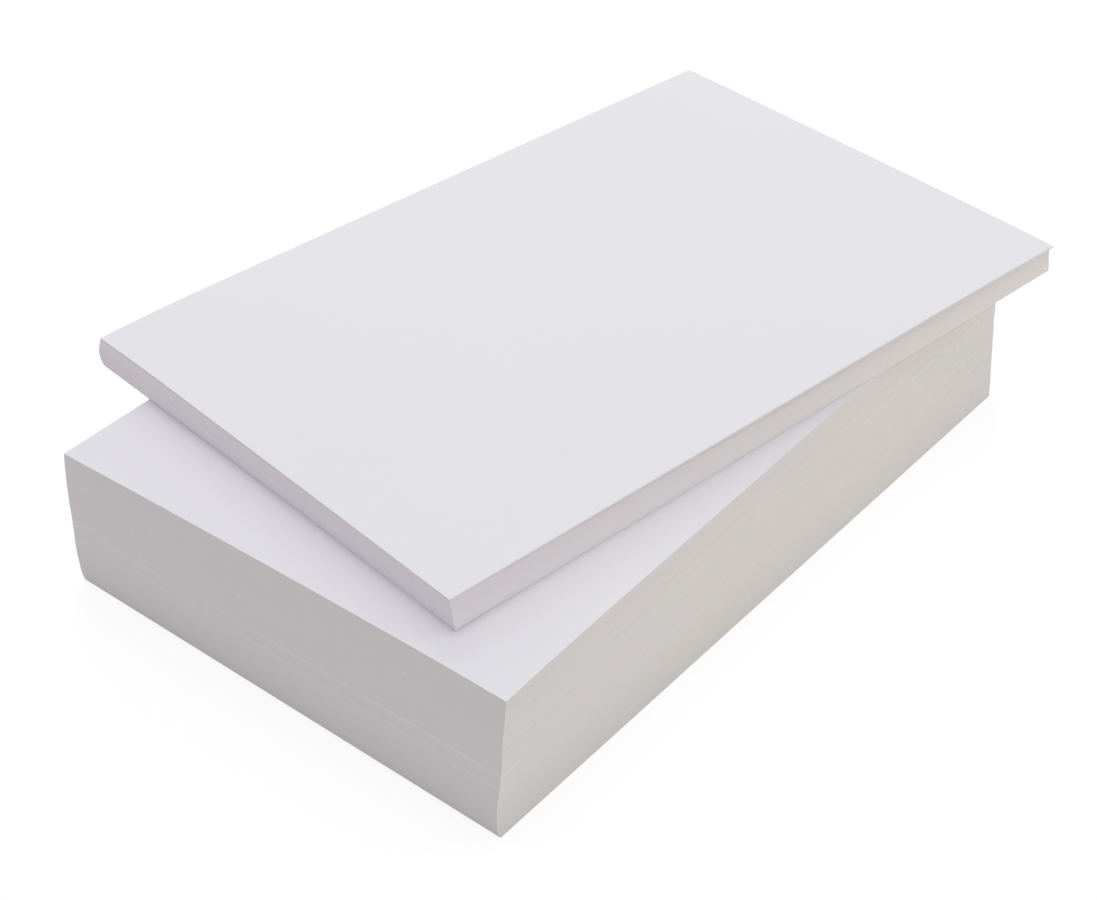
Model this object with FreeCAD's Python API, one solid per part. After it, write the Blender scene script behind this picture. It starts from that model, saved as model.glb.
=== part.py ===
import FreeCAD, Part
import os

# A loose ream of cut white paper: five hundred sheets in two piles, the thin one turned on the thick one.
#
# Every sheet is the same rectangle and lies flat. What gives the ream its shape is how the sheets have
# slipped: the foot is drawn in, the thick pile leans and twists, and the thin pile lies askew and overhangs.
# The sheets that moved together make one block, and a new block starts where the edges show a break.
#
# Millimetres, +Z up. The origin is the middle of the bottom sheet's underside, +X runs along its long
# edge and +Y along its short edge. The near corner of a sheet is its -X -Y corner.

# One sheet
SHEET_LONG = 215.9
SHEET_SHORT = 139.7
SHEET_THICK = 0.097

# Sheets in each block, from the table up
BASE_SHEETS = 160
LOW_SLIPPED_SHEETS = 3
WAIST_SHEETS = 36
HIGH_SLIPPED_SHEETS = 3
MIDDLE_SHEETS = 66
SHOULDER_SHEETS = 143
TURNED_SHEETS = 83
TOP_SHEETS = 6

# How the thick pile lies: height, slip along the long edge, slip along the short edge, turn in degrees
THICK_PILE_LIE = [
    (0.0, 0.0, 0.0, 0.0),
    (2.0, -0.6, 0.0, -0.1),
    (5.0, -0.9, 0.0, -0.1),
    (12.0, -0.95, 0.25, 0.15),
    (18.0, -0.5, 0.5, 0.45),
    (24.0, -0.1, 1.0, 0.65),
    (30.0, 0.15, 1.5, 0.9),
    (35.0, 0.75, 2.1, 1.15),
    (40.5, 2.0, 3.0, 1.3),
]

# How the thin pile lies on it, in the same terms
THIN_PILE_LIE = [
    (39.5, 21.5, 7.4, -8.0),
    (42.0, 20.8, 7.2, -7.9),
    (45.0, 20.6, 7.5, -7.9),
    (48.0, 21.6, 8.4, -8.2),
]

# How the top sheets lie: slip along the long edge, slip along the short edge, turn
TOP_SHEETS_LIE = (21.85, 7.85, -8.45)

# How far each group of slipped sheets stands out of the short near face
LOW_SLIP = 0.08
HIGH_SLIP = 0.12

# The shoulder is knocked round about its near corner, so that its far right corner stands out
SHOULDER_TURN = -0.15

# Height between the outlines that a block's sides pass through
OUTLINE_PITCH = 2.0


def lie_curve(lie):
    """A smooth curve through the places where a pile's lie is given, read by height."""
    curve = Part.BSplineCurve()
    heights = [height for height, *_ in lie]
    places = [FreeCAD.Vector(*place) for _, *place in lie]
    curve.interpolate(Points=places, Parameters=heights)
    return curve


def sheet_outline(height, place, out=0.0, knock=0.0):
    """The edge of one sheet: slipped and turned to its place, moved out of the near face and knocked round."""
    half_long = SHEET_LONG / 2
    half_short = SHEET_SHORT / 2
    corners = [
        FreeCAD.Vector(-half_long, -half_short, height),
        FreeCAD.Vector(half_long, -half_short, height),
        FreeCAD.Vector(half_long, half_short, height),
        FreeCAD.Vector(-half_long, half_short, height),
    ]
    near_corner = corners[0]
    outline = Part.makePolygon(corners + [near_corner])
    up = FreeCAD.Vector(0, 0, 1)
    outline.rotate(near_corner, up, knock)
    outline.translate(FreeCAD.Vector(-out, 0, 0))
    outline.rotate(FreeCAD.Vector(0, 0, height), up, place.z)
    outline.translate(FreeCAD.Vector(place.x, place.y, 0))
    return outline


def block(bottom, sheets, place_at, out=0.0, knock=0.0):
    """A block of sheets as one solid, its sides drawn smoothly through the outlines of its sheets."""
    rise = sheets * SHEET_THICK
    steps = max(1, round(rise / OUTLINE_PITCH))
    heights = [bottom + rise * step / steps for step in range(steps + 1)]
    outlines = [sheet_outline(height, place_at(height), out, knock) for height in heights]
    straight_sides = steps == 1
    return Part.makeLoft(outlines, True, straight_sides)


def ream():
    """Every block by its name, each resting on the one before it."""
    thick_pile = lie_curve(THICK_PILE_LIE).value
    thin_pile = lie_curve(THIN_PILE_LIE).value
    top_place = FreeCAD.Vector(*TOP_SHEETS_LIE)

    def on_top(height):
        return top_place

    order = [
        ("base_block", BASE_SHEETS, thick_pile, 0.0, 0.0),
        ("slipped_sheets_low", LOW_SLIPPED_SHEETS, thick_pile, LOW_SLIP, 0.0),
        ("waist_block", WAIST_SHEETS, thick_pile, 0.0, 0.0),
        ("slipped_sheets_high", HIGH_SLIPPED_SHEETS, thick_pile, HIGH_SLIP, 0.0),
        ("middle_block", MIDDLE_SHEETS, thick_pile, 0.0, 0.0),
        ("shoulder_block", SHOULDER_SHEETS, thick_pile, 0.0, SHOULDER_TURN),
        ("turned_block", TURNED_SHEETS, thin_pile, 0.0, 0.0),
        ("top_sheets", TOP_SHEETS, on_top, 0.0, 0.0),
    ]
    blocks = {}
    laid = 0
    for name, sheets, place_at, out, knock in order:
        blocks[name] = block(laid * SHEET_THICK, sheets, place_at, out, knock)
        laid += sheets
    print("sheets laid:", laid, "height:", round(laid * SHEET_THICK, 2), "mm")
    return blocks


os.makedirs("parts", exist_ok=True)
for name, solid in ream().items():
    box = solid.BoundBox
    print(
        f"{name:20s} valid {solid.isValid()}  solids {len(solid.Solids)}  volume {solid.Volume / 1000:8.2f} cm3"
        f"  x {box.XMin:.2f}..{box.XMax:.2f}  y {box.YMin:.2f}..{box.YMax:.2f}  z {box.ZMin:.2f}..{box.ZMax:.2f}"
    )
    solid.exportStep(f"parts/{name}.step")
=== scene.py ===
# %% [markdown]
# # A loose ream of paper
#
# Five hundred cut sheets in two piles: a thick one that has leaned and twisted a little, and a thin
# one laid askew on top. The engineering model already holds every block of sheets at its true size.
# Here each block gets back what that model leaves out: the edge of every single sheet, the way the
# corners hang, and the finish of the paper. We start by loading the blocks, and note their box,
# because nothing that we make may be larger.

# %% Load the blocks
import math
import random

import bpy
import numpy as np
from mathutils import Matrix, Vector


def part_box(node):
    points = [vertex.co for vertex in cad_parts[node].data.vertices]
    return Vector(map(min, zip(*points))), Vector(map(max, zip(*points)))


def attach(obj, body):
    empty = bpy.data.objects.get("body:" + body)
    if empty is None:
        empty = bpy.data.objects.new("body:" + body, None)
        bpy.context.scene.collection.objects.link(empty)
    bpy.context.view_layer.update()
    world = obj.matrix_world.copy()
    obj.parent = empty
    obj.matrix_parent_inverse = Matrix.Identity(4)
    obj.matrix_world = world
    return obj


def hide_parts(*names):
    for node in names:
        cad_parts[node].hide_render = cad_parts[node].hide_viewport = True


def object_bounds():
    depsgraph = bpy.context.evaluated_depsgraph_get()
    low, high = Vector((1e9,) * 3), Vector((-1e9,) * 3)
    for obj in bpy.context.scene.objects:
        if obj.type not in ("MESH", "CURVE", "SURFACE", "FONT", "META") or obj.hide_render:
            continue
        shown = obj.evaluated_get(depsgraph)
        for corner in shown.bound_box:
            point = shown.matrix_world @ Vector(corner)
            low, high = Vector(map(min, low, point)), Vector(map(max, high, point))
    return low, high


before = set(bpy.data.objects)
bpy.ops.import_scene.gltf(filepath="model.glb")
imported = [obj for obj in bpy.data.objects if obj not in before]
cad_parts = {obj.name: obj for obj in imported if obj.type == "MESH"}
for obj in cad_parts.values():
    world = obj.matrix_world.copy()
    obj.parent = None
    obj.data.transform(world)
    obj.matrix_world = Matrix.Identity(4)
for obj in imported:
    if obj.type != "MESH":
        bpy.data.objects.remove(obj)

cad_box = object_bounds()
print("blocks:", sorted(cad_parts))
print("box of the blocks:", [tuple(round(value, 4) for value in corner) for corner in cad_box])

# %% [markdown]
# ## How thick is a sheet?
#
# A ream is five hundred sheets by definition, so the height of both piles gives the thickness of one
# sheet. With that number, the height of a block tells how many sheets are in it. Deriving it this way
# keeps the sheets in step with the blocks: if the blocks are remade, the sheets follow.

# %% Count the sheets
REAM_SHEETS = 500
MM = 0.001

sheet_thick = cad_box[1].z / REAM_SHEETS
block_names = sorted(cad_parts, key=lambda name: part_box(name)[0].z)


def sheets_in(block_name):
    """How many sheets a block holds, from its height."""
    low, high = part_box(block_name)
    return round((high.z - low.z) / sheet_thick)


for block_name in block_names:
    print(f"{block_name:20s} {sheets_in(block_name):4d} sheets")
print(f"one sheet is {sheet_thick / MM:.4f} mm thick")

# %% [markdown]
# ## Where does each sheet lie?
#
# The sides of a block bulge and lean, because its sheets have slipped. To find one sheet, we cut the
# block's mesh with a level plane at the middle of the sheet's thickness. Every mesh edge that crosses
# the plane gives a point, and the four points that reach furthest towards the four corners are the
# corners of the sheet. This is much lighter than a boolean cut, and it can't fail on a thin block.

# %% Cut a block level
CORNER_WAYS = [(-1, -1), (1, -1), (1, 1), (-1, 1)]


def cut_level(block_name, height):
    """The four corners of the sheet that lies at a height in a block: near, right, back and left."""
    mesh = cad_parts[block_name].data
    places = np.array([vertex.co for vertex in mesh.vertices])
    ends = places[np.array([edge.vertices for edge in mesh.edges])]
    low, high = ends[:, 0], ends[:, 1]
    crosses = (low[:, 2] - height) * (high[:, 2] - height) < 0
    low, high = low[crosses], high[crosses]
    share = ((height - low[:, 2]) / (high[:, 2] - low[:, 2]))[:, None]
    points = (low + (high - low) * share)[:, :2]
    return np.array([points[np.argmax(points @ np.array(way))] for way in CORNER_WAYS])


sample = cut_level(block_names[0], sheet_thick * 0.5)
long_side, short_side = np.linalg.norm(sample[1] - sample[0]), np.linalg.norm(sample[2] - sample[1])
print(f"the bottom sheet measures {long_side / MM:.1f} x {short_side / MM:.1f} mm")

# %% [markdown]
# ## The small slips
#
# Cut paper that has been handled is never flush. Neighbouring sheets have moved together, so the slip
# of one is mostly the slip of the one below it: a random walk that is always pulled back to nothing.
# Each sheet adds a hair of its own, and now and then one stands out. The slips are hundredths of a
# millimetre, which the eye reads as the fine lines on the side of a ream. The random numbers are
# seeded, so the ream is the same each time.

# %% Slip the sheets
SLIP_SEED = 75
SHARED_SLIP = 0.005 * MM
SHARED_KEPT = 0.92
OWN_SLIP = 0.004 * MM
STRAY_SLIP = 0.02 * MM
STRAY_CHANCE = 0.03


def slips(count):
    """For each sheet, how far it has slipped along x and y."""
    dice = random.Random(SLIP_SEED)
    shared = Vector((0.0, 0.0))
    found = []
    for _ in range(count):
        shared = shared * SHARED_KEPT + Vector((dice.gauss(0, SHARED_SLIP), dice.gauss(0, SHARED_SLIP)))
        own = STRAY_SLIP if dice.random() < STRAY_CHANCE else OWN_SLIP
        found.append(shared + Vector((dice.gauss(0, own), dice.gauss(0, own))))
    return np.array(found)


def kept_inside(corners):
    """The corners of a sheet, moved back where a slip has taken them out of the blocks' box."""
    low, high = np.array(cad_box[0])[:2], np.array(cad_box[1])[:2]
    back = np.maximum(low - corners.min(0), 0) - np.maximum(corners.max(0) - high, 0)
    return corners + back


sheet_slips = slips(REAM_SHEETS)
print(f"largest slip: {np.abs(sheet_slips).max() / MM:.2f} mm")

# %% [markdown]
# ## Steps between the blocks
#
# Where one block ends and the next begins, the blocks step in or out all at once. On the real ream the
# sheets next to such a break have been dragged along, so the step is spread over a few millimetres. We
# share it out between the two blocks by how far it is spread into each, which makes one smooth curve of
# the side. The slipped sheets keep a sharp step above them, which shows as a fine line. The right corner
# of the thin pile is the other exception: the top sheets stand out there alone.

# %% Spread the steps
# The block above the step, how far down the step is spread from there, and how far up
SPREADS = {
    "slipped_sheets_low": (4 * MM, 0),
    "slipped_sheets_high": (3.4 * MM, 0),
    "shoulder_block": (3 * MM, 12 * MM),
    "top_sheets": (4 * MM, 0),
}
NEAR, RIGHT, BACK, LEFT = range(4)


def nearness(distance, reach):
    """1 at a step, falling evenly to 0 where the reach ends, and 0 where there is no reach."""
    return max(0, reach - distance) / reach if reach else 0


def spread(block_name, height):
    """How far the corners of the sheet at a height are moved to spread the steps that are near it."""
    moved = np.zeros((4, 2))
    for upper, (down, up) in SPREADS.items():
        lower = block_names[block_names.index(upper) - 1]
        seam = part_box(upper)[0].z
        if block_name == lower:
            reach, near = down, nearness(seam - height, down)
        elif block_name == upper:
            reach, near = up, -nearness(height - seam, up)
        else:
            continue
        step = cut_level(upper, seam + 0.5 * sheet_thick) - cut_level(lower, seam - 0.5 * sheet_thick)
        moved += step * reach / (down + up) * near * abs(near)
        if upper == "top_sheets":
            moved[RIGHT] = 0
    return moved


for upper in SPREADS:
    lower = block_names[block_names.index(upper) - 1]
    most = np.abs(spread(lower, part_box(lower)[1].z)).max()
    print(f"{lower:20s} moves by up to {most / MM:.2f} mm towards {upper}")

# %% [markdown]
# ## The mesh of one block
#
# A block is drawn as one closed skin. Going up, each sheet has a strip for its cut edge, and a narrow
# ledge joins it to the next sheet, which lies a hair further in or out. The skin is closed below and
# above by the whole face of a sheet. Separate boxes for the sheets would hide hundreds of touching
# faces inside the pile, which cost time and show as flicker. The points of a sheet all come from its
# four corners by the same weights, so the rows of points line up.

# %% Weights of the points of a sheet
CELLS_LONG = 26
CELLS_SHORT = 17


def corner_weights(across, along):
    """The share of each corner in the point of a sheet at a place from 0 to 1 along each side."""
    return [(1 - across) * (1 - along), across * (1 - along), across * along, (1 - across) * along]


def edge_cells():
    """The grid places round the edge of a sheet, from the near corner by way of the right one."""
    front = [(step, 0) for step in range(CELLS_LONG)]
    right = [(CELLS_LONG, step) for step in range(CELLS_SHORT)]
    behind = [(CELLS_LONG - step, CELLS_SHORT) for step in range(CELLS_LONG)]
    left = [(0, CELLS_SHORT - step) for step in range(CELLS_SHORT)]
    return front + right + behind + left


EDGE_CELLS = edge_cells()
EDGE_WEIGHTS = np.array([corner_weights(x / CELLS_LONG, y / CELLS_SHORT) for x, y in EDGE_CELLS])
INNER_CELLS = [(x, y) for y in range(1, CELLS_SHORT) for x in range(1, CELLS_LONG)]
INNER_WEIGHTS = np.array([corner_weights(x / CELLS_LONG, y / CELLS_SHORT) for x, y in INNER_CELLS])
print(len(EDGE_CELLS), "points round a sheet,", len(INNER_CELLS), "inside it")

# %% [markdown]
# The faces are lists of point numbers. Each sheet owns two rings of points, one at its underside and
# one at its top, and a row of faces joins each ring to the next: a strip, then a ledge, then a strip.
# A face also needs a place on the flat map that a texture is stored on, so the function gives both. The
# rows go above each other in the lower part of the map, and a ledge gets a third of a strip's height.

# %% Faces of the sides
RING = len(EDGE_CELLS)
LEDGE_SHARE = 0.25


def side_faces(sheets, sides_top):
    """The strips and ledges of a block: point numbers and map places for each face."""
    faces, places = [], []
    for row in range(2 * sheets - 1):
        is_ledge = row % 2
        low = (row // 2 + is_ledge * (1 - LEDGE_SHARE)) / sheets * sides_top
        high = low + (LEDGE_SHARE if is_ledge else 1 - LEDGE_SHARE) / sheets * sides_top
        under, over = row * RING, (row + 1) * RING
        for step in range(RING):
            after = (step + 1) % RING
            faces.append([under + step, under + after, over + after, over + step])
            left, right = step / RING, (step + 1) / RING
            places.append([(left, low), (right, low), (right, high), (left, high)])
    return faces, places


# %% [markdown]
# The sheet that closes a block below or above is a grid of small faces, so that it can bend when the
# pile settles. Its rim uses the points of the nearest ring, which keeps the skin closed. A face shows
# its front to the side from which its points run anticlockwise, so the lower sheet takes them backwards.

# %% Faces of a whole sheet
def sheet_faces(ring_start, inner_start, facing_up, map_left, map_low):
    """The faces of a sheet that closes a block, from the ring round it and the points inside it."""
    number = {cell: ring_start + place for place, cell in enumerate(EDGE_CELLS)}
    number.update({cell: inner_start + place for place, cell in enumerate(INNER_CELLS)})
    map_wide, map_high = 0.5 / CELLS_LONG, (1 - map_low) / CELLS_SHORT
    faces, places = [], []
    for y in range(CELLS_SHORT):
        for x in range(CELLS_LONG):
            cells = [(x, y), (x + 1, y), (x + 1, y + 1), (x, y + 1)]
            if not facing_up:
                cells.reverse()
            faces.append([number[cell] for cell in cells])
            places.append([(map_left + a * map_wide, map_low + b * map_high) for a, b in cells])
    return faces, places


sample_faces, _ = sheet_faces(0, RING, True, 0.0, 0.0)
print(len(sample_faces), "faces on a whole sheet,", RING, "on the edge of one")

# %% [markdown]
# ## How the piles settle
#
# Loose paper gives way where little holds it, so the corners of a pile lie lower than its middle. The
# left corner of the thin pile droops most, because it hangs over the edge of the thick one, and the
# droop reaches far along the back. Only the sheets near the top give: further down, the weight above
# keeps them level. The other way round, air between the sheets makes the thick pile swell a little near
# its short left side, and it presses the foot of the thin pile up there. The top of the thin pile never
# rises, so the ream stays within its measured height.

# %% Droops and the swell
THICK_TOP = "shoulder_block"
THIN_TOP = "top_sheets"
thin_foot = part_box("turned_block")[0].z
give_from = thin_foot - 16 * MM

# The block that the corner is on top of, the corner, the droop there, how far in it reaches, and the
# height at which the sheets are level again
DROOPS = [
    (THIN_TOP, LEFT, 0.7 * MM, 30 * MM, thin_foot),
    (THIN_TOP, LEFT, 0.5 * MM, 150 * MM, thin_foot),
    (THIN_TOP, RIGHT, 0.45 * MM, 45 * MM, thin_foot),
    (THIN_TOP, BACK, 0.15 * MM, 30 * MM, thin_foot),
    (THICK_TOP, NEAR, 0.6 * MM, 36 * MM, give_from),
]

SWELL = 0.75 * MM
SWELL_PLACE = (-75 * MM, 15 * MM)
SWELL_REACH = 95 * MM
SWELL_HEIGHTS = [give_from, thin_foot, cad_box[1].z]
SWELL_SHARES = [0, 1, 0]

left_droop = sum(depth for _, corner, depth, _, _ in DROOPS if corner == LEFT)
print(f"the left corner droops by {left_droop / MM:.1f} mm, the thick pile swells by {SWELL / MM:.2f} mm")


# %% [markdown]
# A droop is deepest at its corner and falls off like a cone with a soft foot. The swell is a round mound,
# flat at its middle, so that the two piles follow the same curve where they touch.

# %% Settle the points of a block
def in_thin_pile(block_name):
    """Whether a block belongs to the thin pile."""
    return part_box(block_name)[0].z > thin_foot - 0.5 * sheet_thick


def distance_share(points, place, reach):
    """How far each point is from a place seen from above, as a share of a reach and at most 1."""
    return np.clip(np.linalg.norm(points[:, :2] - place, axis=1) / reach, 0, 1)


def settled(points, block_name):
    """The points of a block, lowered near the corners of its pile and raised where the pile swells."""
    moved = points.copy()
    mound = (1 - distance_share(points, SWELL_PLACE, SWELL_REACH) ** 2) ** 2
    moved[:, 2] += SWELL * mound * np.interp(points[:, 2], SWELL_HEIGHTS, SWELL_SHARES)
    pile_top = THIN_TOP if in_thin_pile(block_name) else THICK_TOP
    for top_block, corner, depth, reach, level_at in DROOPS:
        if top_block == pile_top:
            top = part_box(top_block)[1].z
            place = cut_level(top_block, top - 0.5 * sheet_thick)[corner]
            give = np.clip((points[:, 2] - level_at) / (top - level_at), 0, 1)
            moved[:, 2] -= depth * (1 - distance_share(points, place, reach)) ** 2 * give
    return moved


# %% [markdown]
# ## Build every block
#
# Now the pieces come together. For each block we find its sheets one by one, spread and slip them, and
# lay out their points. The points are set out level first and settle all at once at the end, because a
# whole array of them moves in one sum.

# %% Sheets and points of a block
def sheet_outlines(block_name, first_sheet):
    """The four corners of each sheet of a block, spread, slipped and kept inside the box."""
    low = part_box(block_name)[0].z
    outlines = []
    for sheet in range(sheets_in(block_name)):
        height = low + (sheet + 0.5) * sheet_thick
        corners = cut_level(block_name, height) + spread(block_name, height)
        outlines.append(kept_inside(corners + sheet_slips[first_sheet + sheet]))
    return outlines


def block_points(block_name, outlines):
    """Two rings of points for each sheet, then the points inside the lowest and the uppermost sheet."""
    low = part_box(block_name)[0].z
    rings = []
    for row in range(2 * len(outlines)):
        height = low + (row + 1) // 2 * sheet_thick
        rings.append(np.column_stack([EDGE_WEIGHTS @ outlines[row // 2], np.full(RING, height)]))
    inside = []
    for outline, height in ((outlines[0], low), (outlines[-1], low + len(outlines) * sheet_thick)):
        inside.append(np.column_stack([INNER_WEIGHTS @ outline, np.full(len(INNER_CELLS), height)]))
    return settled(np.vstack(rings + inside), block_name)


# %% [markdown]
# Points and faces make a mesh, and an object places the mesh in the scene. Each face also carries the
# number of the finish that it wears: one for the cut edges and one for the two whole sheets. Edges that
# turn by more than 30 degrees stay sharp, so the rim of the ream is crisp while long curves look smooth.

# %% Make a block
FACE_FINISH = 0
EDGE_FINISH = 1
MAP_STRIP = 1 / 300
MOST_MAP_SIDES = 0.62
SHARP_FROM = math.radians(30)


def make_block(block_name, first_sheet):
    """One block of sheets as a closed mesh, in place of the plain block of the same name."""
    outlines = sheet_outlines(block_name, first_sheet)
    points = block_points(block_name, outlines)
    sheets = len(outlines)
    sides_top = min(MOST_MAP_SIDES, sheets * MAP_STRIP)
    under_inner = 2 * sheets * RING
    over_inner = under_inner + len(INNER_CELLS)
    sides, side_places = side_faces(sheets, sides_top)
    under, under_places = sheet_faces(0, under_inner, False, 0.0, sides_top)
    over, over_places = sheet_faces((2 * sheets - 1) * RING, over_inner, True, 0.5, sides_top)

    mesh = bpy.data.meshes.new(block_name + "_sheets")
    mesh.from_pydata(points.tolist(), [], sides + under + over)
    finishes = [EDGE_FINISH] * len(sides) + [FACE_FINISH] * (len(under) + len(over))
    mesh.polygons.foreach_set("material_index", finishes)
    mesh.set_sharp_from_angle(angle=SHARP_FROM)
    texture_map = mesh.uv_layers.new(name="OFBake")
    places = np.array(side_places + under_places + over_places, dtype=np.float32)
    texture_map.uv.foreach_set("vector", places.ravel())
    mesh.update()
    piece = bpy.data.objects.new(block_name + "_sheets", mesh)
    bpy.context.scene.collection.objects.link(piece)
    return piece


# %% [markdown]
# The blocks are made from the table up, and each one carries on counting where the last one stopped. So
# every sheet of the ream takes its own slip from the one long list.

# %% Make all the blocks
pieces = {}
laid = 0
for block_name in block_names:
    pieces[block_name] = make_block(block_name, laid)
    laid += sheets_in(block_name)
    print(f"{block_name:20s} {len(pieces[block_name].data.polygons):6d} faces")
print("sheets laid:", laid)

# %% [markdown]
# ## Writing a finish as sums
#
# A finish is a small program of nodes, and it reads best as arithmetic. The class below wraps the
# output of a node. Adding or multiplying two of them, or one and a number, adds a Math node, and one
# method adds any other kind of node. A Mix node of colours takes its share in socket 0 and its colours
# in sockets 6 and 7, and gives its result in socket 2.

# %% A wire between nodes
class Wire:
    """The output of a shader node, with arithmetic that adds Math nodes to the same finish."""

    def __init__(self, tree, socket=None):
        self.tree = tree
        self.socket = socket

    def node(self, kind, settings=None, inputs=None, output=0):
        """Adds a node of a kind: first its settings, then the values or wires of its sockets."""
        made = self.tree.nodes.new(kind)
        for name, value in (settings or {}).items():
            setattr(made, name, value)
        for name, value in (inputs or {}).items():
            if isinstance(value, Wire):
                self.tree.links.new(value.socket, made.inputs[name])
            else:
                made.inputs[name].default_value = value
        return Wire(self.tree, made.outputs[output])

    def into(self, socket):
        """Joins this to a socket that is there already."""
        self.tree.links.new(self.socket, socket)

    def math(self, operation, *values):
        """A Math node of this and the values."""
        return self.node("ShaderNodeMath", {"operation": operation}, dict(enumerate((self, *values))))

    def __add__(self, other):
        return self.math("ADD", other)

    __radd__ = __add__

    def __sub__(self, other):
        return self.math("SUBTRACT", other)

    def __rsub__(self, other):
        return self * -1 + other

    def __mul__(self, other):
        return self.math("MULTIPLY", other)

    __rmul__ = __mul__

    def stretched(self, *scales):
        """A place whose coordinates are scaled, so that a pattern is drawn out or pressed together."""
        return self.node("ShaderNodeVectorMath", {"operation": "MULTIPLY"}, {0: self, 1: scales})

    def cloud(self, scale, detail=2.0, roughness=0.5):
        """Soft noise about 0, read at this place."""
        inputs = {"Vector": self, "Scale": scale, "Detail": detail, "Roughness": roughness}
        return self.node("ShaderNodeTexNoise", {}, inputs) - 0.5

    def axes(self):
        """The three coordinates of this place, each as a wire."""
        parts = self.node("ShaderNodeSeparateXYZ", {}, {0: self}).socket.node
        return [Wire(self.tree, part) for part in parts.outputs]

    def falling(self, full, none):
        """1 where this is below one value, 0 where it is above another, and a soft slope between."""
        limits = {"Value": self, "From Min": full, "From Max": none, "To Min": 1, "To Max": 0}
        return self.node("ShaderNodeMapRange", {"interpolation_type": "SMOOTHSTEP"}, limits)

    def between(self, dark, light):
        """The colour that lies this share of the way from one colour to another."""
        inputs = {0: self, 6: (*dark, 1), 7: (*light, 1)}
        return self.node("ShaderNodeMix", {"data_type": "RGBA"}, inputs, output=2)

    def tinted(self, tint, share):
        """This colour, multiplied by a tint where the share is 1."""
        settings = {"data_type": "RGBA", "blend_type": "MULTIPLY"}
        return self.node("ShaderNodeMix", settings, {0: share, 6: self, 7: (*tint, 1)}, output=2)


# %% [markdown]
# Every finish here starts from an empty material and ends on its surface, the Principled shader. Both
# kinds of paper surface use the same last step: a colour, a roughness, and a relief a few hundredths of
# a millimetre deep that only tilts the light.

# %% Start and end of a finish
BUMP_STRENGTH = 0.25
BUMP_DEPTH = 0.03 * MM


def new_finish(name):
    """An empty finish: the material, its wire to start from, and its surface."""
    material = bpy.data.materials.new(name)
    material.use_nodes = True
    surface = material.node_tree.nodes["Principled BSDF"]
    return material, Wire(material.node_tree), surface


def paper_surface(surface, colour, rough, relief, shine):
    """Joins a colour, a roughness and a relief to a surface, and sets how much it shines."""
    bumps = {"Strength": BUMP_STRENGTH, "Distance": BUMP_DEPTH, "Height": relief}
    colour.into(surface.inputs["Base Color"])
    rough.into(surface.inputs["Roughness"])
    relief.node("ShaderNodeBump", {}, bumps).into(surface.inputs["Normal"])
    surface.inputs["Specular IOR Level"].default_value = shine


# %% [markdown]
# ## The face of a sheet
#
# Copy paper looks plain, but it isn't one flat white. Its fibres clump as they settle, which papermakers
# call formation: faint clouds a few millimetres wide. A cool white comes from brighteners in the
# pulp. The surface has a fine tooth, finer than a fibre clump, which keeps it from shining.

# %% Values of a sheet's face
SHEET_SHADE = (0.790, 0.782, 0.822)
SHEET_LIGHT = (0.862, 0.853, 0.893)
SHEET_SHINE = 0.35

# How many clouds of each size fit in a metre
WIDE_CLOUDS = 14
FORMATION_CLOUDS = 260
TOOTH_CLOUDS = 4200

# What each adds to the tone, to the roughness and to the relief
SHEET_TONE, WIDE_TONE, FORMATION_TONE, TOOTH_TONE = 0.5, 0.35, 0.28, 0.16
SHEET_ROUGH, FORMATION_ROUGH, TOOTH_ROUGH = 0.66, 0.10, 0.16
FORMATION_RELIEF = 0.35
print(f"fibre clumps are about {1 / FORMATION_CLOUDS / MM:.1f} mm wide")

# %% [markdown]
# Clouds of all three sizes add up to the tone, and the tone picks a colour between the shade and the
# light. The two finer ones also drive the roughness and the relief, so that a clump which looks darker
# shines a little differently too. An image could do this as well, but it would repeat or blur, while
# noise is as fine as we like at any distance.

# %% Finish of a sheet's face
def sheet_face_finish():
    """The material of a whole sheet."""
    material, start, surface = new_finish("sheet_face")
    place = start.node("ShaderNodeTexCoord", output="Object")
    wide = place.cloud(WIDE_CLOUDS, detail=1)
    formation = place.cloud(FORMATION_CLOUDS, detail=3, roughness=0.6)
    tooth = place.cloud(TOOTH_CLOUDS, detail=2, roughness=0.7)
    tone = SHEET_TONE + wide * WIDE_TONE + formation * FORMATION_TONE + tooth * TOOTH_TONE
    rough = SHEET_ROUGH + formation * FORMATION_ROUGH + tooth * TOOTH_ROUGH
    relief = formation * FORMATION_RELIEF + tooth
    paper_surface(surface, tone.between(SHEET_SHADE, SHEET_LIGHT), rough, relief, SHEET_SHINE)
    return material


# %% [markdown]
# ## The cut edges
#
# The side of a ream is five hundred cut edges. Each has a tone of its own, because some stand a hair
# further out and catch more light, so the tone is drawn out along the sheet and changes quickly with
# height. Here and there two sheets part and leave a dark hairline. The knife leaves faint upright
# marks, and the torn ends of the fibres give a fine grain. Light that enters an edge is lost between
# the sheets, so edges are a little darker and warmer than the face of the same paper. All of these are
# the same noise: pressing it together along an axis gives lines across that axis.

# %% Patterns of the cut edges
# How many clouds fit in a metre along x, y and z
LEAVES = (12, 12, 9000)
LEAF_BANDS = (9, 9, 700)
KNIFE_MARKS = (700, 700, 14)
PARTINGS = (30, 30, 5200)
GRAIN = 5200

# Below the first value a parting is a full hairline, above the second it is none
HAIRLINE_LIMITS = (-0.26, -0.14)

# What each adds to the tone
EDGE_TONE, LEAF_TONE, LEAF_BAND_TONE, KNIFE_TONE = 0.60, 0.14, 0.07, 0.06
GRAIN_TONE, HAIRLINE_TONE = 0.14, -0.07
print(f"the tone of the edges changes every {1 / LEAVES[2] / MM:.2f} mm of height")


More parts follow.
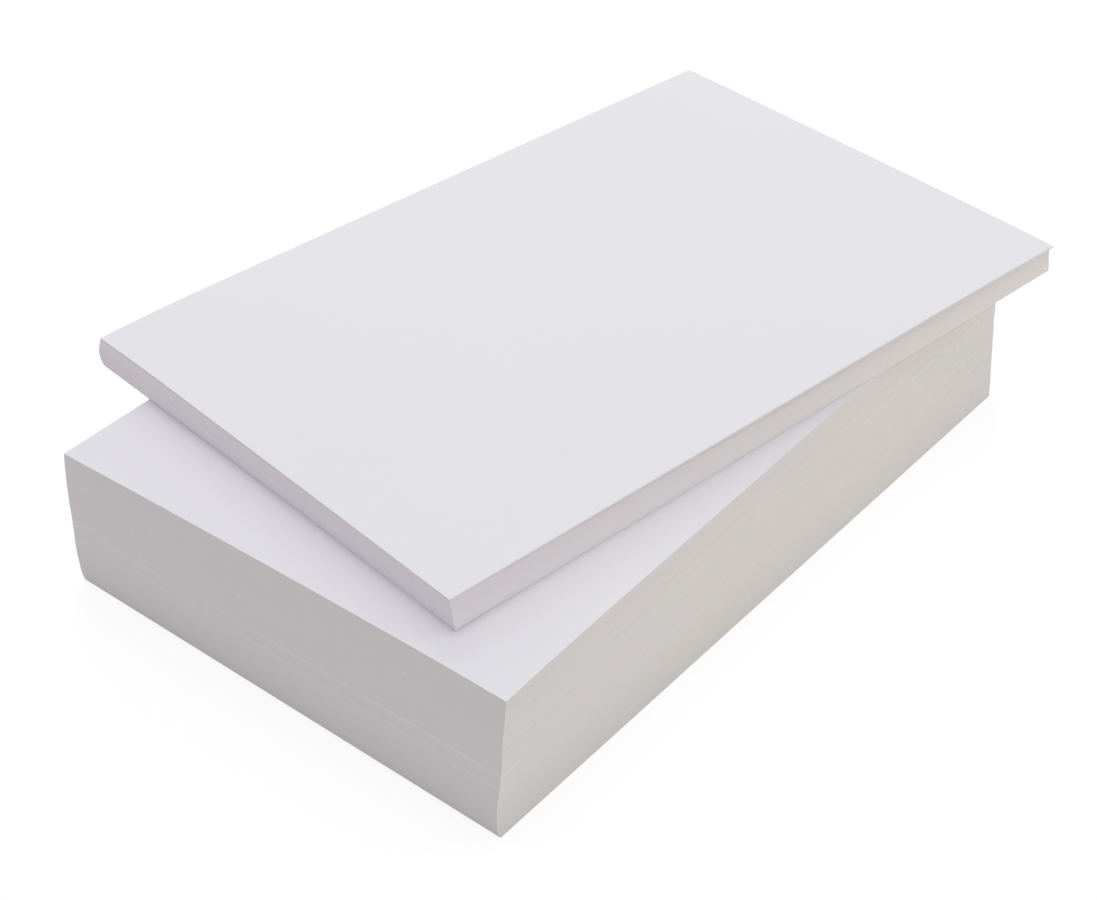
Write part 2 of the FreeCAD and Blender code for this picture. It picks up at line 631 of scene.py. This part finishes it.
def edge_patterns(place):
    """The tone of the cut edges before any broad change, with its leaves, grain and hairlines."""
    leaves = place.stretched(*LEAVES).cloud(1, detail=2, roughness=0.6)
    leaf_bands = place.stretched(*LEAF_BANDS).cloud(1, detail=2)
    knife = place.stretched(*KNIFE_MARKS).cloud(1, detail=2)
    grain = place.cloud(GRAIN, detail=1)
    hairline = place.stretched(*PARTINGS).cloud(1, detail=1).falling(*HAIRLINE_LIMITS)
    tone = EDGE_TONE + leaves * LEAF_TONE + leaf_bands * LEAF_BAND_TONE + knife * KNIFE_TONE
    tone = tone + grain * GRAIN_TONE + hairline * HAIRLINE_TONE
    return tone, leaves, grain, hairline


# %% [markdown]
# Three broad changes lie over those patterns, and all three are painted light. The foot of the ream is
# darker: a painted shade where the sides near the table get less light. The sheets that stand out of the
# short side get two pale bands there, strongest towards the near corner: a painted highlight for the
# light that their ledges catch. And towards the left the edges turn cooler, more so on the thin pile:
# painted cool light on the short left side.

# %% Broad changes of the cut edges
# Painted shade: the foot is darker, where the sides near the table get less light
FOOT_SHADE_HEIGHT = 17 * MM
FOOT_PAINTED_SHADE = 0.14
SHORT_SIDE = -103 * MM
SHORT_SIDE_BLEND = 3 * MM
# Painted highlight: pale bands below the tops of the slipped sheets, whose ledges catch light
BAND_HEIGHT = 2.2 * MM
BAND_TOP_BLEND = 0.1 * MM
PAINTED_HIGHLIGHT_BANDS = {"slipped_sheets_low": 0.06, "slipped_sheets_high": 0.12}
BAND_FAR_SHARE = 0.45
BAND_ALONG = (-70 * MM, 70 * MM)
# Painted cool light: the edges turn cooler towards the short left side
PAINTED_COOL_ACROSS = (-90 * MM, 50 * MM)
band_tops = [round(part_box(slipped)[1].z / MM, 1) for slipped in PAINTED_HIGHLIGHT_BANDS]
print("pale bands end at these heights in mm:", band_tops)


def painted_highlight_bands(across, along, height):
    """The painted highlight: how much paler the edges are below the top of each group of slipped sheets.
    """
    near_share = BAND_FAR_SHARE + along.falling(*BAND_ALONG) * (1 - BAND_FAR_SHARE)
    on_short_side = across.falling(SHORT_SIDE, SHORT_SIDE + SHORT_SIDE_BLEND)
    highlights = []
    for slipped, highlight_strength in PAINTED_HIGHLIGHT_BANDS.items():
        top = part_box(slipped)[1].z
        below_top = (top - height).falling(0, BAND_HEIGHT) * height.falling(top, top + BAND_TOP_BLEND)
        highlights.append(below_top * highlight_strength)
    return sum(highlights) * on_short_side * near_share


# %% [markdown]
# One function makes the finish of both piles. It adds the broad changes to the tone, painted shade and
# painted highlights, lets the tone pick the colour, and tints that colour with painted cool light towards
# the left. It is called with the colours of each pile.

# %% Finish of the cut edges
EDGE_SHINE = 0.2
EDGE_ROUGH, GRAIN_ROUGH, LEAF_ROUGH = 0.82, 0.12, -0.08
GRAIN_RELIEF = 0.5


def cut_edge_finish(name, shade, light, cool):
    """The material of a pile's sides between two colours, with painted shade and highlights, and a
    painted cool tint on the left.
    """
    material, start, surface = new_finish(name)
    place = start.node("ShaderNodeTexCoord", output="Object")
    across, along, height = place.axes()
    tone, leaves, grain, hairline = edge_patterns(place)
    # Painted shade at the foot, and painted highlights in the pale bands
    tone = tone - height.falling(0, FOOT_SHADE_HEIGHT) * FOOT_PAINTED_SHADE + painted_highlight_bands(across, along, height)
    # The tint is painted cool light on the left
    colour = tone.between(shade, light).tinted(cool, across.falling(*PAINTED_COOL_ACROSS))
    rough = EDGE_ROUGH + grain * GRAIN_ROUGH + leaves * LEAF_ROUGH
    relief = leaves + grain * GRAIN_RELIEF - hairline
    paper_surface(surface, colour, rough, relief, EDGE_SHINE)
    return material


# %% [markdown]
# ## Dress the blocks
#
# In the picture the edges of the thin pile are a touch paler than those of the thick one, so each pile
# gets its own two edge colours. It is the same paper, so the paler copy is painted light. The face of a
# sheet is the same everywhere.

# %% Make the finishes
sheet_face = sheet_face_finish()
thick_pile_edges = cut_edge_finish(
    "thick_pile_edges",
    shade=(0.590, 0.553, 0.528),
    light=(0.853, 0.810, 0.788),
    cool=(1.0, 1.0, 1.005),
)
# Painted light: the same paper as the thick pile, given paler colours and a stronger cool tint
thin_pile_edges = cut_edge_finish(
    "thin_pile_edges",
    shade=(0.608, 0.567, 0.545),
    light=(0.878, 0.828, 0.805),
    cool=(1.01, 1.01, 1.07),
)
for finish in (sheet_face, thick_pile_edges, thin_pile_edges):
    print(f"{finish.name:20s} {len(finish.node_tree.nodes):3d} nodes")

# %% [markdown]
# Each block gets two finishes in the order that its faces expect. Then it is joined to the ream, and the
# plain block that it stands for is hidden.

# %% Put the finishes on
for block_name, piece in pieces.items():
    piece.data.materials.append(sheet_face)
    piece.data.materials.append(thin_pile_edges if in_thin_pile(block_name) else thick_pile_edges)
    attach(piece, "root")
    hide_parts(block_name)
print("dressed:", len(pieces), "blocks")

# %% [markdown]
# ## Table and background
#
# The ream stands on a plain white table in front of a white background. The table has to do two jobs.
# For light that bounces up onto the paper it is an ordinary pale surface. For the camera it glows just
# enough to reach pure white, and the part of it that reflects light still darkens beside the ream, so
# a soft shadow is left that ties the ream to the table. Both jobs are told apart by the kind of ray.
# Far from the ream the lamps fade, so the glow grows there, and the table stays white to its edge.

# %% Finish of the table
TABLE_GLOW = 0.80
TABLE_SEEN = 0.26
TABLE_PALE = 0.85
GLOW_GROWS = (0.35, 1.0)


def seen_directly(start):
    """1 for rays that show the background to the eye, straight, in a mirror or through glass."""
    rays = start.node("ShaderNodeLightPath").socket.node
    kinds = ["Is Camera Ray", "Is Glossy Ray", "Is Transmission Ray"]
    wires = [Wire(start.tree, rays.outputs[kind]) for kind in kinds]
    return wires[0].math("MAXIMUM", wires[1].math("MAXIMUM", wires[2]))


def table_finish():
    """The material of the table: pale for the paper, and glowing up to white for the eye."""
    material, start, surface = new_finish("table_top")
    seen = seen_directly(start)
    colour = seen.between((TABLE_PALE,) * 3, (TABLE_SEEN,) * 3)
    colour.into(surface.inputs["Base Color"])
    place = start.node("ShaderNodeTexCoord", output="Object")
    distance = place.node("ShaderNodeVectorMath", {"operation": "LENGTH"}, {0: place}, output="Value")
    glow = seen * (1 - distance.falling(*GLOW_GROWS) * (1 - TABLE_GLOW))
    glow.into(surface.inputs["Emission Color"])
    surface.inputs["Emission Strength"].default_value = 1.0
    surface.inputs["Roughness"].default_value = 1.0
    surface.inputs["Specular IOR Level"].default_value = 0.0
    return material


# %% [markdown]
# The table itself is one flat square under the ream, large enough that no view shows its edge close by.

# %% Table
TABLE_SIZE = 6.0

half = TABLE_SIZE / 2
table_corners = [(-half, -half, 0), (half, -half, 0), (half, half, 0), (-half, half, 0)]
table_mesh = bpy.data.meshes.new("table_top")
table_mesh.from_pydata(table_corners, [], [(0, 1, 2, 3)])
table_mesh.materials.append(table_finish())
table = bpy.data.objects.new("table_top", table_mesh)
bpy.context.scene.collection.objects.link(table)
print(f"the table measures {TABLE_SIZE:.0f} x {TABLE_SIZE:.0f} m")

# %% [markdown]
# The light that comes from all round is a dim, slightly cool sky, as in a room with white walls. It is
# what keeps the shadows soft and open. The camera sees white instead of it.

# %% Sky
SKY_COLOUR = (0.905, 0.924, 1.0)
SKY_STRENGTH = 0.66
WHITE = (1, 1, 1)

world = bpy.data.worlds.new("white_room")
bpy.context.scene.world = world
world.use_nodes = True
background = world.node_tree.nodes["Background"]
seen = seen_directly(Wire(world.node_tree))
seen.between(SKY_COLOUR, WHITE).into(background.inputs["Color"])
(SKY_STRENGTH + seen * (1 - SKY_STRENGTH)).into(background.inputs["Strength"])
print("strength of the sky:", SKY_STRENGTH)

# %% [markdown]
# ## Lamps
#
# In the picture the tops are brightest, the long right side is next and the short left side is the
# darkest, and every shadow edge is soft. Most of the light is the sky's. One lamp hangs overhead, and a
# second one stands high behind the ream: both light the tops, and the second draws the soft shadow of
# the thin pile on the thick one. A third stands low in front on the right and lights the long side. All
# are large for their distance, which is what makes a shadow soft.

# %% Place the lamps
def add_lamp(name, place, size, power, colour):
    """A square soft lamp that faces the ream."""
    lamp = bpy.data.lights.new(name, "AREA")
    lamp.shape = "SQUARE"
    lamp.size = size
    lamp.energy = power
    lamp.color = colour
    holder = bpy.data.objects.new(name, lamp)
    bpy.context.scene.collection.objects.link(holder)
    holder.location = place
    holder.rotation_euler = (-Vector(place)).to_track_quat("-Z", "Y").to_euler()
    print(f"{name:14s} {power:.2f} W at {Vector(place).length:.2f} m")


add_lamp("overhead_lamp", place=(0.0, 0.1, 1.2), size=1.0, power=3.37, colour=(1, 0.92, 0.76))
add_lamp("back_lamp", place=(0.9, 0.9, 0.9), size=0.8, power=3.83, colour=(1, 1, 0.93))
add_lamp("right_lamp", place=(1.15, -1.0, 0.22), size=0.4, power=6.2, colour=(0.975, 1, 0.82))

# %% [markdown]
# ## Camera
#
# The view was worked out from the corners of both piles in the picture: with the sheet's size known,
# they fix where the camera stood and how long its lens is. The camera circles the point that it looks
# at, so an azimuth, an elevation and a distance place it, and a small roll levels it.

# %% Directions of the camera
LOOK_AT = Vector((9.02, 11.97, 0)) * MM
AZIMUTH = math.radians(-50.58)
ELEVATION = math.radians(37.49)
ROLL = math.radians(-0.27)
DISTANCE = 587.4 * MM
LENS = 69.66
NEAREST_SEEN = 10 * MM

back = Vector((
    math.sin(AZIMUTH) * math.cos(ELEVATION),
    -math.cos(AZIMUTH) * math.cos(ELEVATION),
    math.sin(ELEVATION),
))
right = Vector((0, 0, 1)).cross(back).normalized()
upward = back.cross(right)
turned_right = right * math.cos(ROLL) + upward * math.sin(ROLL)
turned_up = upward * math.cos(ROLL) - right * math.sin(ROLL)
turn = Matrix((turned_right, turned_up, back)).transposed().to_4x4()
print("the camera looks along", tuple(round(-value, 3) for value in back))

# %% [markdown]
# A camera looks down its own -Z axis with +Y up. The three directions above are the columns of its turn,
# so one matrix both places and turns it. The colours are shown as they are, with no film look added.

# %% Place the camera
camera_data = bpy.data.cameras.new("camera")
camera_data.lens = LENS
camera_data.clip_start = NEAREST_SEEN
camera = bpy.data.objects.new("camera", camera_data)
camera.matrix_world = Matrix.Translation(LOOK_AT + back * DISTANCE) @ turn
bpy.context.scene.collection.objects.link(camera)
bpy.context.scene.camera = camera
bpy.context.scene.view_settings.view_transform = "Standard"
print("camera stands at", tuple(round(value, 3) for value in camera.matrix_world.translation))
